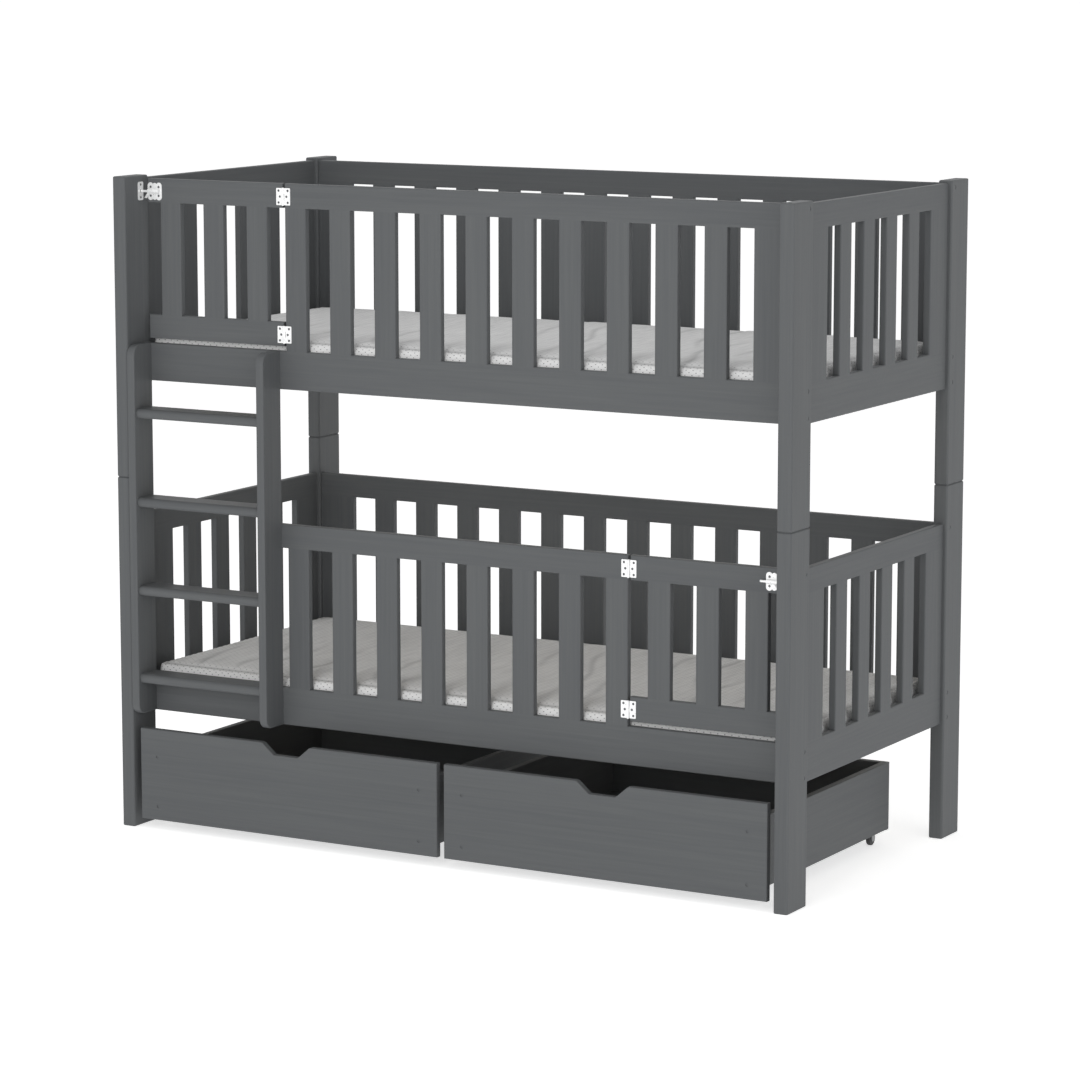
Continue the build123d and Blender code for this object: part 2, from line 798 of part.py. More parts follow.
def tab_place(level, travel):
    """The end of the tab's path at a travel of the bolt from the keeper, lean included."""
    way = swing[level]
    root = way * (inner_x - keeper_plate - latch_bolt_gap - tab_root + travel)
    outward = way * (tab_width / 2 + tab_lean * barrel_radius / tab_drop)
    return root + (outward if travel > 0 else -way * tab_width / 2)


def latch_bolt(level):
    """A round bolt with a flat tab that leans towards the tip."""
    way, z = swing[level], latch_z(level)
    tip = bolt_tip(level)
    end = Plane(origin=(tip, latch_axis_y, z), x_dir=(0, way, 0), z_dir=(way, 0, 0))
    flat = Plane(origin=(tip - way * tab_root, latch_axis_y - tab_thickness / 2, z),
                 x_dir=(1, 0, 0), z_dir=(0, -1, 0))
    half = tab_width / 2
    with BuildPart() as bolt:
        rods(end, [(0, 0)], latch_bolt_radius, latch_bolt_length)
        chamfer(bolt.edges().filter_by(GeomType.CIRCLE), latch_bolt_chamfer)
        with BuildSketch(flat):
            with BuildLine():
                Polyline((-half, 0), (half, 0), (half + way * tab_lean, -tab_drop),
                         (-half + way * tab_lean, -tab_drop), close=True)
            make_face()
        extrude(amount=-tab_thickness)
    return bolt.part


for level in swing:
    save(latch_case(level), f"{level}_latch_case")
    save(latch_bolt(level), f"{level}_latch_bolt")

keeper_parts = []
for level, sign in swing.items():
    seat = Plane(origin=(sign * inner_x, latch_axis_y, latch_z(level)), x_dir=(0, 1, 0), z_dir=(-sign, 0, 0))
    with BuildPart() as keeper:
        with BuildSketch(seat):
            RectangleRounded(keeper_width, keeper_height, keeper_corner)
            Circle(keeper_hole_radius, mode=Mode.SUBTRACT)
        extrude(amount=keeper_plate)
        add(keeper_bores[level], mode=Mode.SUBTRACT)
    keeper_parts.append(keeper.part)
save(Compound(children=keeper_parts), "latch_keepers")

# Drawers
front_width = (inner_length - 2 * drawer_gap - drawer_between) / 2
drawer_x = {"left": -inner_x + drawer_gap, "right": inner_x - drawer_gap - front_width}
front_near = front_y + drawer_setback
wall_near = front_near + wall_thickness
wall_far = front_near + drawer_depth
floor_low = wall_base + floor_rise


def dowel_set(start, clearance=0):
    """Dowels through the front and the back board into the ends of the side walls."""
    wall_x = [start + wall_inset + wall_thickness / 2,
              start + front_width - wall_inset - wall_thickness / 2]
    heights = [wall_base + dowel_edge, wall_base + wall_height - dowel_edge]
    sink = 0 if clearance else dowel_recess
    length = dowel_length + clearance - sink
    with BuildPart() as dowels:
        rods(Plane(origin=(0, front_near + sink, 0), x_dir=(1, 0, 0), z_dir=(0, -1, 0)),
             [(x, z) for x in wall_x for z in heights], dowel_radius + clearance, length)
        rods(Plane(origin=(0, wall_far - sink, 0), x_dir=(1, 0, 0), z_dir=(0, 1, 0)),
             [(x, -z) for x in wall_x for z in heights], dowel_radius + clearance, length)
    return dowels.part


def drawer_floor(start, clearance=0):
    """The drawer's bottom panel, or with a clearance the groove that holds it."""
    reach = wall_inset + wall_thickness - groove_depth
    with BuildPart() as panel:
        block((start + reach - clearance, start + front_width - reach + clearance),
              (wall_near - groove_depth - clearance, wall_far - wall_thickness + groove_depth + clearance),
              (floor_low - clearance, floor_low + floor_thickness + clearance))
    return panel.part


def drawer_front(start):
    """The front board with its finger grip cut into the top edge."""
    face = Plane(origin=(start + front_width / 2, front_near, front_base), x_dir=(1, 0, 0), z_dir=(0, -1, 0))
    half_top, half_base = grip_top_width / 2, grip_base_width / 2
    with BuildPart() as front:
        with BuildSketch(face) as outline:
            with Locations((0, front_height / 2)):
                Rectangle(front_width, front_height)
            with BuildLine():
                Polyline((-half_top, front_height), (-half_base, front_height - grip_depth),
                         (half_base, front_height - grip_depth), (half_top, front_height), close=True)
            make_face(mode=Mode.SUBTRACT)
            corners = outline.vertices().group_by(Axis.Y)
            fillet(corners[1], grip_fillet)
            shoulders = outline.vertices().group_by(Axis.Y)[-1].sort_by(Axis.X)[1:3]
            fillet(shoulders, grip_shoulder)
        extrude(amount=-wall_thickness)
        broad = front.faces().filter_by(Axis.Y)
        fillet([edge for face in broad for edge in face.edges()], front_arris)
        add(drawer_floor(start, groove_clearance), mode=Mode.SUBTRACT)
        add(dowel_set(start, dowel_clearance), mode=Mode.SUBTRACT)
    return front.part


def drawer_walls(start):
    """Two side walls and a back board that covers their ends, with the dowels that join them."""
    sides_x = [(start + wall_inset, start + wall_inset + wall_thickness),
               (start + front_width - wall_inset - wall_thickness, start + front_width - wall_inset)]
    heights = (wall_base, wall_base + wall_height)
    pieces = []
    for x_span in sides_x:
        with BuildPart() as wall:
            block(x_span, (wall_near, wall_far - wall_thickness), heights)
            fillet(wall.edges().filter_by(Axis.Y), wall_arris)
            add(drawer_floor(start, groove_clearance), mode=Mode.SUBTRACT)
            add(dowel_set(start, dowel_clearance), mode=Mode.SUBTRACT)
        pieces.append(wall.part)
    with BuildPart() as back:
        block((sides_x[0][0], sides_x[1][1]), (wall_far - wall_thickness, wall_far), heights)
        fillet(back.edges().filter_by(Axis.X), wall_arris)
        add(drawer_floor(start, groove_clearance), mode=Mode.SUBTRACT)
        add(dowel_set(start, dowel_clearance), mode=Mode.SUBTRACT)
    pieces += [back.part, dowel_set(start)]
    return Compound(children=pieces)


def castor_centres(start):
    """Middles of a drawer's castors, by pair: two in front and two at the back."""
    inset = wall_inset + wall_thickness + castor_side_gap + castor_plate_width / 2
    xs = (start + inset, start + front_width - inset)
    ys = {"front": wall_near + castor_front_reach,
          "back": wall_far - wall_thickness - castor_back_reach}
    return {pair: [(x, y) for x in xs] for pair, y in ys.items()}


def castor_bracket(x, y):
    """A screwed-on plate with two fork arms and the axle between them."""
    arm = wheel_width / 2 + fork_clearance
    plate_low = floor_low - castor_plate
    side = Plane(origin=(x - arm - fork_arm, y, wheel_radius), x_dir=(0, 1, 0), z_dir=(1, 0, 0))
    with BuildPart() as bracket:
        block((x - castor_plate_width / 2, x + castor_plate_width / 2),
              (y - castor_plate_length / 2, y + castor_plate_length / 2), (plate_low, floor_low))
        with BuildSketch(side):
            Circle(fork_arm_width / 2)
            rectangles([((-fork_arm_width / 2, fork_arm_width / 2), (0, plate_low - wheel_radius))])
        extrude(amount=2 * (arm + fork_arm))
        block((x - arm, x + arm), (y - fork_arm_width, y + fork_arm_width), (0, plate_low),
              mode=Mode.SUBTRACT)
        with BuildSketch(side):
            Circle(axle_radius)
        extrude(amount=2 * (arm + fork_arm))
    return bracket.part


def castor_wheel(x, y):
    """A wheel with soft tread edges, bored for its axle."""
    side = Plane(origin=(x - wheel_width / 2, y, wheel_radius), x_dir=(0, 1, 0), z_dir=(1, 0, 0))
    with BuildPart() as wheel:
        with BuildSketch(side):
            Circle(wheel_radius)
        extrude(amount=wheel_width)
        fillet(wheel.edges().filter_by(GeomType.CIRCLE), wheel_fillet)
        with BuildSketch(side):
            Circle(axle_radius + axle_clearance)
        extrude(amount=wheel_width, mode=Mode.SUBTRACT)
    return wheel.part


for side, start in drawer_x.items():
    save(drawer_front(start), f"{side}_drawer_front")
    save(drawer_walls(start), f"{side}_drawer_walls")
    save(drawer_floor(start), f"{side}_drawer_floor")
    castors = castor_centres(start)
    brackets = [castor_bracket(x, y) for pair in castors.values() for x, y in pair]
    save(Compound(children=brackets), f"{side}_drawer_castor_brackets")
    for pair, centres in castors.items():
        save(Compound(children=[castor_wheel(x, y) for x, y in centres]), f"{side}_drawer_{pair}_wheels")
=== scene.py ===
import math

import bmesh
import bpy
import numpy as np
from mathutils import Euler, Matrix, Vector


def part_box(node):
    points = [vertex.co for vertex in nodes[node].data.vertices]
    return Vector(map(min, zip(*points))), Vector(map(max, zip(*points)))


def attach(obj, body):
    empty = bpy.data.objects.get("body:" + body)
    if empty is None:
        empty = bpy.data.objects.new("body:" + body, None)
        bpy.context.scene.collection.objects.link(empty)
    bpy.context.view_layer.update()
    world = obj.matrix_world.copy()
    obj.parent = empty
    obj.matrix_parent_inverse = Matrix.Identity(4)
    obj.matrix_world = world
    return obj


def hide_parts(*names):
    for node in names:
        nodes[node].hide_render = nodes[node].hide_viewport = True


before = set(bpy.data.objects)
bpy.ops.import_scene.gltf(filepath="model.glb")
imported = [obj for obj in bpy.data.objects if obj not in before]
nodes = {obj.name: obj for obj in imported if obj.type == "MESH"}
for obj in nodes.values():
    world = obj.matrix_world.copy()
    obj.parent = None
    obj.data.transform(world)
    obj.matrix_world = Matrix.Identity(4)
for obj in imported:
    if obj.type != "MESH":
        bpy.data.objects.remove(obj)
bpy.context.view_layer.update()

# Posts: eight lengths of planed pine, four standing on four, with eased arrises and a chamfered
# butt joint. They are sprayed with a satin grey water-based paint, through which the grain that
# runs up each post still shows as faint streaks.


def linear(hex_code):
    """Linear colour, with alpha, of an sRGB hex code."""
    parts = [int(hex_code[i:i + 2], 16) / 255 for i in (1, 3, 5)]
    return (*[p / 12.92 if p <= 0.04045 else ((p + 0.055) / 1.055) ** 2.4 for p in parts], 1.0)


def add_node(tree, kind, inputs=None, **settings):
    """Adds a node. Its inputs take values, or the sockets that feed them."""
    node = tree.nodes.new(kind)
    for name, value in settings.items():
        setattr(node, name, value)
    for key, value in (inputs or {}).items():
        if isinstance(value, bpy.types.NodeSocket):
            tree.links.new(value, node.inputs[key])
        else:
            node.inputs[key].default_value = value
    return node


def new_material(name):
    """An empty material and its tree."""
    material = bpy.data.materials.new(name)
    material.use_nodes = True
    material.node_tree.nodes.clear()
    return material, material.node_tree


def finish_material(tree, shader_inputs):
    """Ends a tree in one principled shader."""
    shader = add_node(tree, "ShaderNodeBsdfPrincipled", shader_inputs)
    add_node(tree, "ShaderNodeOutputMaterial", {"Surface": shader.outputs["BSDF"]})


def dress(material, *names):
    """Gives CAD nodes one material."""
    for name in names:
        mesh = nodes[name].data
        mesh.materials.clear()
        mesh.materials.append(material)


paint_dark = "#5A5C5E"
paint_light = "#616364"
paint_relief = 0.0006
lines_across_a_board = 16
upright_streaks = (140.0, 140.0, 3.2)
level_streaks = (3.2, 3.2, 140.0)


def painted_pine(name, streaks):
    """Satin grey paint over pine. Streaks are counts of grain lines in a metre along X, Y and Z.

    Real growth lines are 2 to 4 mm apart; these are drawn 7 to 11 mm apart, so that they show.
    """
    material, tree = new_material(name)
    place = add_node(tree, "ShaderNodeTexCoord").outputs["Object"]
    grain_place = add_node(tree, "ShaderNodeMapping", {"Vector": place, "Scale": streaks})
    grain = add_node(tree, "ShaderNodeTexNoise", {
        "Vector": grain_place.outputs["Vector"], "Scale": 1.0, "Detail": 4.0, "Roughness": 0.62,
        "Distortion": 0.35})
    board_scale = [count / lines_across_a_board for count in streaks]
    board_place = add_node(tree, "ShaderNodeMapping", {"Vector": place, "Scale": board_scale})
    board = add_node(tree, "ShaderNodeTexNoise", {
        "Vector": board_place.outputs["Vector"], "Scale": 1.0, "Detail": 1.0})
    tone = add_node(tree, "ShaderNodeMix", {
        "Factor": 0.35, "A": grain.outputs["Fac"], "B": board.outputs["Fac"]}, data_type="FLOAT")
    paint = add_node(tree, "ShaderNodeValToRGB", {"Fac": tone.outputs["Result"]})
    paint.color_ramp.elements[0].position = 0.34
    paint.color_ramp.elements[0].color = linear(paint_dark)
    paint.color_ramp.elements[1].position = 0.66
    paint.color_ramp.elements[1].color = linear(paint_light)
    speck = add_node(tree, "ShaderNodeTexNoise", {"Vector": place, "Scale": 420.0, "Detail": 2.0})
    gloss = add_node(tree, "ShaderNodeMapRange", {
        "Value": speck.outputs["Fac"],
        "From Min": 0.3, "From Max": 0.7, "To Min": 0.46, "To Max": 0.56})
    relief = add_node(tree, "ShaderNodeBump", {
        "Height": grain.outputs["Fac"], "Strength": 0.22, "Distance": paint_relief})
    finish_material(tree, {
        "Base Color": paint.outputs["Color"], "Roughness": gloss.outputs["Result"], "IOR": 1.5,
        "Specular IOR Level": 0.12, "Normal": relief.outputs["Normal"]})
    return material


upright_pine = painted_pine("grey painted pine, upright grain", upright_streaks)
level_pine = painted_pine("grey painted pine, level grain", level_streaks)
for level in ("lower", "upper"):
    for row in ("front", "back"):
        dress(upright_pine, f"{level}_post_{row}_left", f"{level}_post_{row}_right")

# Frame bolts and pins: steel bolts sunk a little into the posts' outer faces, with their heads
# sprayed together with the bed, and steel pins hidden in the post joints.

bolt_paint, tree = new_material("grey paint on steel")
place = add_node(tree, "ShaderNodeTexCoord").outputs["Object"]
mottle = add_node(tree, "ShaderNodeTexNoise", {"Vector": place, "Scale": 600.0, "Detail": 3.0})
coat = add_node(tree, "ShaderNodeMix", {
    "Factor": mottle.outputs["Fac"], "A": linear("#4C4E50"), "B": linear("#5A5C5E")}, data_type="RGBA")
orange_peel = add_node(tree, "ShaderNodeBump", {
    "Height": mottle.outputs["Fac"], "Strength": 0.2, "Distance": 0.0003})
finish_material(tree, {
    "Base Color": coat.outputs["Result"], "Roughness": 0.45, "Specular IOR Level": 0.4,
    "Normal": orange_peel.outputs["Normal"]})
dress(bolt_paint, "frame_bolts_and_pins")

# Guards: rails that run level and slats that stand upright, tenoned flush into each other and
# sprayed as one panel. The grain turns by a quarter at every joint.

for level in ("lower", "upper"):
    for guard in ("back", "front", "left_end", "right_end"):
        dress(level_pine, f"{level}_{guard}_rails")
        dress(upright_pine, f"{level}_{guard}_slats")

# Bed bases: bare planed pine ledgers screwed inside the long rails, with loose slats laid across
# them. The timber is left unpainted, as it is under any mattress.


def bare_pine(name, streaks):
    """Planed, unpainted pine. Growth lines are drawn 5 mm apart, about as wide as the real ones."""
    material, tree = new_material(name)
    place = add_node(tree, "ShaderNodeTexCoord").outputs["Object"]
    grain_place = add_node(tree, "ShaderNodeMapping", {"Vector": place, "Scale": streaks})
    grain = add_node(tree, "ShaderNodeTexNoise", {
        "Vector": grain_place.outputs["Vector"], "Scale": 1.0, "Detail": 5.0, "Roughness": 0.6,
        "Distortion": 0.6})
    wood = add_node(tree, "ShaderNodeValToRGB", {"Fac": grain.outputs["Fac"]})
    wood.color_ramp.elements[0].position = 0.35
    wood.color_ramp.elements[0].color = linear("#CCC3B4")
    wood.color_ramp.elements[1].position = 0.6
    wood.color_ramp.elements[1].color = linear("#E6DFD3")
    relief = add_node(tree, "ShaderNodeBump", {
        "Height": grain.outputs["Fac"], "Strength": 0.3, "Distance": 0.0005})
    finish_material(tree, {
        "Base Color": wood.outputs["Color"], "Roughness": 0.6, "Normal": relief.outputs["Normal"]})
    return material


ledger_streaks = (3.0, 200.0, 200.0)
base_slat_streaks = (200.0, 3.0, 200.0)
dress(bare_pine("bare planed pine, ledgers", ledger_streaks), "base_ledgers")
dress(bare_pine("bare planed pine, base slats", base_slat_streaks),
      "lower_base_slats", "upper_base_slats")

# Mattresses: two foam mattresses in sewn covers of white stretch knit, printed with small grey
# dots. A border strip runs round the sides and rolls over the edges to a seam on the top and on
# the bottom. The foam swells the border, and the loose cover lies in soft creases.

mattress_low, mattress_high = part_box("lower_mattress")
mattress_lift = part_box("upper_mattress")[0].z - mattress_low.z
mattress_middle = (mattress_low + mattress_high) / 2
mattress_half = (mattress_high - mattress_low) / 2
voxel = 0.012
swell_room = 0.004
swell_cap = 0.005
corner_radius = 0.018
edge_radius = 0.012
seam_inset = 0.016
seam_depth = 0.0035
seam_reach = 0.006
proud = 0.005


def rounded_side(x, y, half_x, half_y, radius):
    """Distance round a rounded rectangle, and outwards from it, of points near its outline."""
    straight_x, straight_y = half_x - radius, half_y - radius
    arc = radius * math.pi / 2
    nearest_x = np.clip(x, -straight_x, straight_x)
    nearest_y = np.clip(y, -straight_y, straight_y)
    angle = np.arctan2(y - nearest_y, x - nearest_x) % (2 * math.pi)
    quarter = np.floor(angle / (math.pi / 2) + 1e-6).astype(int) % 4
    within = (angle - quarter * math.pi / 2) * radius
    along = np.select(
        [quarter == 0, quarter == 1, quarter == 2, quarter == 3],
        [nearest_y + straight_y,
         2 * straight_y + arc + straight_x - nearest_x,
         2 * straight_y + 2 * straight_x + 2 * arc + straight_y - nearest_y,
         4 * straight_y + 2 * straight_x + 3 * arc + nearest_x + straight_x])
    beside = np.hypot(x - nearest_x, y - nearest_y)
    within_core = np.maximum(np.abs(x) - straight_x, np.abs(y) - straight_y)
    outwards = np.where(beside > 0, beside, within_core) - radius
    return along + within, outwards


def new_object(name, data):
    """Puts a new object in the scene."""
    piece = bpy.data.objects.new(name, data)
    bpy.context.scene.collection.objects.link(piece)
    return piece


def shaped_mesh(piece):
    """A copy of an object's mesh as its modifiers shape it."""
    return bpy.data.meshes.new_from_object(
        piece.evaluated_get(bpy.context.evaluated_depsgraph_get()))


def mattress_shell():
    """The cover before it is filled: a rounded slab, a little smaller than the foam makes it."""
    half = mattress_half - Vector((swell_room, swell_room, 0.0))
    mesh = bpy.data.meshes.new("mattress shell")
    slab = bmesh.new()
    bmesh.ops.create_cube(slab, size=2.0)
    bmesh.ops.scale(slab, vec=half, verts=slab.verts)
    upright = [e for e in slab.edges if abs(e.verts[0].co.z - e.verts[1].co.z) > half.z]
    bmesh.ops.bevel(slab, geom=upright, offset=corner_radius, segments=8, affect="EDGES", profile=0.5)
    rims = [e for e in slab.edges if abs(e.verts[0].co.z - e.verts[1].co.z) < 1e-6
            and len(e.link_faces) == 2
            and abs(abs(e.link_faces[0].normal.z) - abs(e.link_faces[1].normal.z)) > 0.5]
    bmesh.ops.bevel(slab, geom=rims, offset=edge_radius, segments=4, affect="EDGES", profile=0.5)
    bmesh.ops.translate(slab, vec=mattress_middle, verts=slab.verts)
    slab.to_mesh(mesh)
    slab.free()
    shell = new_object("mattress shell", mesh)
    remesh = shell.modifiers.new("voxels", "REMESH")
    remesh.mode = "VOXEL"
    remesh.voxel_size = voxel
    bpy.context.view_layer.update()
    even = shaped_mesh(shell)
    shell.modifiers.clear()
    shell.data = even
    return shell


def mesh_points(mesh):
    """A mesh's vertices as an array."""
    points = np.empty(len(mesh.vertices) * 3)
    mesh.vertices.foreach_get("co", points)
    return points.reshape(-1, 3)


def place_points(mesh, points):
    """Moves a mesh's vertices to the rows of an array."""
    mesh.vertices.foreach_set("co", points.ravel())
    mesh.update()


def fill_with_foam(shell):
    """Swells the cover between its two seams by cloth simulation, and caps how far it moves."""
    start = mesh_points(shell.data)
    offset = start - np.array(mattress_middle)
    half = np.array(mattress_half) - np.array((swell_room, swell_room, 0.0))
    _, outwards = rounded_side(offset[:, 0], offset[:, 1], half[0], half[1], corner_radius)
    close = voxel * 0.6
    held = np.flatnonzero((np.abs(offset[:, 2]) > half[2] - close)
                          & (np.abs(outwards + seam_inset) < close))
    seams = shell.vertex_groups.new(name="seams")
    seams.add([int(i) for i in held], 1.0, "REPLACE")
    cloth = shell.modifiers.new("filling", "CLOTH")
    cloth.settings.quality = 4
    cloth.settings.mass = 0.4
    cloth.settings.tension_stiffness = 25
    cloth.settings.compression_stiffness = 25
    cloth.settings.bending_stiffness = 2
    cloth.settings.use_pressure = True
    cloth.settings.uniform_pressure_force = 4
    cloth.settings.effector_weights.gravity = 0
    cloth.settings.vertex_group_mass = "seams"
    scene = bpy.context.scene
    last_step = 20
    for step in range(1, last_step + 1):
        scene.frame_set(step)
    filled = shaped_mesh(shell)
    shell.modifiers.clear()
    scene.frame_set(1)
    moved = mesh_points(filled) - start
    reach = np.linalg.norm(moved, axis=1, keepdims=True)
    moved *= np.minimum(1.0, swell_cap / np.maximum(reach, 1e-9))
    place_points(filled, start + moved)
    shell.data = filled


def creases_across(x, y):
    """Narrow valleys and the soft folds beside them, that run across the top in uneven lines."""
    first, last, pitch, jitter = -0.83, 0.87, 0.105, 0.03
    valley_width, fold_width, fold_beside = 0.008, 0.018, 0.022
    bends, fades = 13, 6
    valleys, folds = np.zeros(len(x)), np.zeros(len(x))
    draw = np.random.default_rng(23)
    for start in np.arange(first, last, pitch):
        place = start + draw.uniform(-jitter, jitter)
        lean, bend = draw.uniform(-0.35, 0.1), draw.uniform(0.01, 0.026)
        phase, fade = draw.uniform(0, 2 * math.pi, 2)
        line = place + lean * y + bend * np.sin(bends * y + phase)
        strength = draw.uniform(0.5, 1.0) * np.clip(0.45 + 0.75 * np.sin(fades * y + fade), 0, 1)
        valleys += strength * np.exp(-((x - line) / valley_width) ** 2)
        folds += strength * np.exp(-((x - line - fold_beside) / fold_width) ** 2)
    return np.clip(valleys, 0, 1), folds


def settle(mesh):
    """Keeps the cover in its bed, sinks the seams and lays the knit in creases and slight waves.

    It also stores painted shade for the crease valleys and top seam, and where the panels lie.
    """
    rim_height, gather_height, gather_pitch, gather_reach = 0.025, 0.0007, 0.024, 0.015
    panel_start, panel_ramp, stretch_ramp = 0.008, 0.03, 0.02
    broad_wave, fine_wave, crease_height, side_room = 0.0009, 0.0005, 0.0026, 0.0003
    points = mesh_points(mesh)
    offset = points - np.array(mattress_middle)
    x, y = offset[:, 0], offset[:, 1]
    half = np.array(mattress_half)
    along, outwards = rounded_side(x, y, half[0], half[1], corner_radius)
    flat = np.abs(offset[:, 2]) > half[2] - rim_height
    above = np.sign(offset[:, 2])
    seam_place = outwards + seam_inset + swell_room
    near = np.exp(-(seam_place / seam_reach) ** 2) * flat
    gather = gather_height * np.sin(along * 2 * math.pi / gather_pitch) * flat
    gather *= np.exp(-(seam_place / gather_reach) ** 2)
    points[:, 2] -= above * (seam_depth * near + gather)
    panel = np.clip(-(seam_place + panel_start) / panel_ramp, 0, 1) * (above > 0) * flat
    valleys, folds = creases_across(x, y)
    waves = (broad_wave * np.sin(19 * x + 4 * np.sin(6 * y)) * np.sin(13 * y + 3 * np.sin(5 * x))
             + fine_wave * np.sin(61 * x + 23 * y + 2 * np.sin(17 * y)))
    points[:, 2] += (waves + crease_height * (folds - valleys)) * panel
    low, high = np.array(mattress_low), np.array(mattress_high)
    points[:, :2] = np.clip(points[:, :2], low[:2] + side_room, high[:2] - side_room)
    points[:, 2] = np.clip(points[:, 2], low[2], high[2] + proud)
    place_points(mesh, points)
    # Painted shade: the crease valleys and the seam on top get a weight that greys the fabric there.
    crease_shade_weight = np.clip(valleys * panel + near * (above > 0), 0, 1)
    stretch = np.clip(-seam_place / stretch_ramp, 0, 1)
    for name, values in (("painted_crease_shade", crease_shade_weight), ("panel", stretch)):
        attribute = mesh.attributes.new(name, "FLOAT", "POINT")
        attribute.data.foreach_set("value", values.astype(np.float32))


shell = mattress_shell()
fill_with_foam(shell)
rounding = shell.modifiers.new("rounding", "SUBSURF")
rounding.levels = rounding.render_levels = 1
cover = shaped_mesh(shell)
bpy.data.objects.remove(shell)
settle(cover)

# The cover's own map, in metres: round the mattress and up its side on the border, which goes on
# over the rolled edge to the seam, and straight across the panels.
cover_points = mesh_points(cover) - np.array(mattress_middle)
cover_half = np.array(mattress_half)
cover_along, cover_outwards = rounded_side(
    cover_points[:, 0], cover_points[:, 1], cover_half[0], cover_half[1], corner_radius)
perimeter = 4 * (cover_half[0] + cover_half[1]) - 8 * corner_radius + 2 * math.pi * corner_radius
cover_map = cover.uv_layers.new(name="cover")
corner_vertices = np.empty(len(cover.loops), int)
cover.loops.foreach_get("vertex_index", corner_vertices)
values = np.empty((len(cover.loops), 2))
for face in cover.polygons:
    corners = list(face.loop_indices)
    at = corner_vertices[corners]
    if cover_outwards[at].mean() < -seam_inset - swell_room:
        values[corners] = cover_points[at][:, :2]
        continue
    ring = cover_along[at]
    if ring.max() - ring.min() > perimeter / 2:
        ring = np.where(ring < perimeter / 2, ring + perimeter, ring)
    rise = cover_points[at][:, 2]
    values[corners, 0] = ring
    values[corners, 1] = rise + np.sign(rise) * np.clip(-cover_outwards[at], 0, None)
cover_map.data.foreach_set("uv", values.ravel())
cover.polygons.foreach_set("use_smooth", np.ones(len(cover.polygons), bool))

# Cover fabric: white stretch knit of fine yarn with rows of printed grey dots, 3.6 by 2.6 mm,
# 18.5 mm apart and 8.5 mm from row to row, each row shifted by half a step. The panels are
# heathered with thin grey yarns that run across the bed, and painted shade greys the crease valleys
# and the top seam. Real stitches and yarns are 1 mm wide; these are drawn 3 to 9 mm wide, to show.


def calculate(tree, operation, first, second=0.0):
    """One step of arithmetic on two values or sockets, or on the first alone."""
    return add_node(tree, "ShaderNodeMath", {0: first, 1: second}, operation=operation).outputs["Value"]


dot_step = 0.0185
dot_row = 0.0085
dot_half_width = 0.0018
dot_half_height = 0.0013
yarn_lean = math.radians(6)
yarn_counts = (110.0, 9.0, 1.0)
knit_relief = 0.001
knit, tree = new_material("white stretch knit with grey dots")
strip = add_node(tree, "ShaderNodeUVMap", uv_map="cover").outputs["UV"]
axes = add_node(tree, "ShaderNodeSeparateXYZ", {"Vector": strip})
up = calculate(tree, "DIVIDE", axes.outputs["Y"], dot_row)
odd = calculate(tree, "FLOORED_MODULO", calculate(tree, "FLOOR", up), 2.0)
steps = calculate(tree, "DIVIDE", axes.outputs["X"], dot_step)
shifted = calculate(tree, "ADD", steps, calculate(tree, "MULTIPLY", odd, 0.5))
from_x = calculate(tree, "SUBTRACT", calculate(tree, "FRACT", shifted), 0.5)
from_y = calculate(tree, "SUBTRACT", calculate(tree, "FRACT", up), 0.5)
wide = calculate(tree, "MULTIPLY", from_x, dot_step / dot_half_width)
tall = calculate(tree, "MULTIPLY", from_y, dot_row / dot_half_height)
oval = add_node(tree, "ShaderNodeCombineXYZ", {"X": wide, "Y": tall})
far = add_node(tree, "ShaderNodeVectorMath", {0: oval.outputs["Vector"]}, operation="LENGTH")
ink = add_node(tree, "ShaderNodeMapRange", {
    "Value": far.outputs["Value"], "From Min": 0.75, "From Max": 1.25, "To Min": 1.0, "To Max": 0.0},
    interpolation_type="SMOOTHSTEP")
fibres = add_node(tree, "ShaderNodeTexNoise", {
    "Vector": add_node(tree, "ShaderNodeTexCoord").outputs["Object"], "Scale": 330.0, "Detail": 2.0})
cloth_tone = add_node(tree, "ShaderNodeMix", {
    "Factor": fibres.outputs["Fac"], "A": linear("#EAEAE9"), "B": linear("#FAFAFA")}, data_type="RGBA")
panels = add_node(tree, "ShaderNodeAttribute", attribute_name="panel")
stretch = add_node(tree, "ShaderNodeMapRange", {
    "Value": panels.outputs["Fac"], "To Min": 1.0, "To Max": 0.5})
faded = calculate(tree, "MULTIPLY", ink.outputs["Result"], stretch.outputs["Result"])
printed = add_node(tree, "ShaderNodeMix", {
    "Factor": faded, "A": cloth_tone.outputs["Result"], "B": linear("#848486")},
    data_type="RGBA")
yarn_place = add_node(tree, "ShaderNodeMapping", {
    "Vector": strip, "Rotation": (0.0, 0.0, yarn_lean), "Scale": yarn_counts})
yarn = add_node(tree, "ShaderNodeTexNoise", {
    "Vector": yarn_place.outputs["Vector"], "Scale": 1.0, "Detail": 3.0, "Roughness": 0.6,
    "Distortion": 0.1})
thin = add_node(tree, "ShaderNodeMapRange", {
    "Value": yarn.outputs["Fac"], "From Min": 0.4, "From Max": 0.7, "To Max": 0.3})
heather = calculate(tree, "MULTIPLY", thin.outputs["Result"], panels.outputs["Fac"])
flecked = add_node(tree, "ShaderNodeMix", {
    "Factor": heather, "A": printed.outputs["Result"], "B": linear("#A9A9AB")},
    data_type="RGBA")
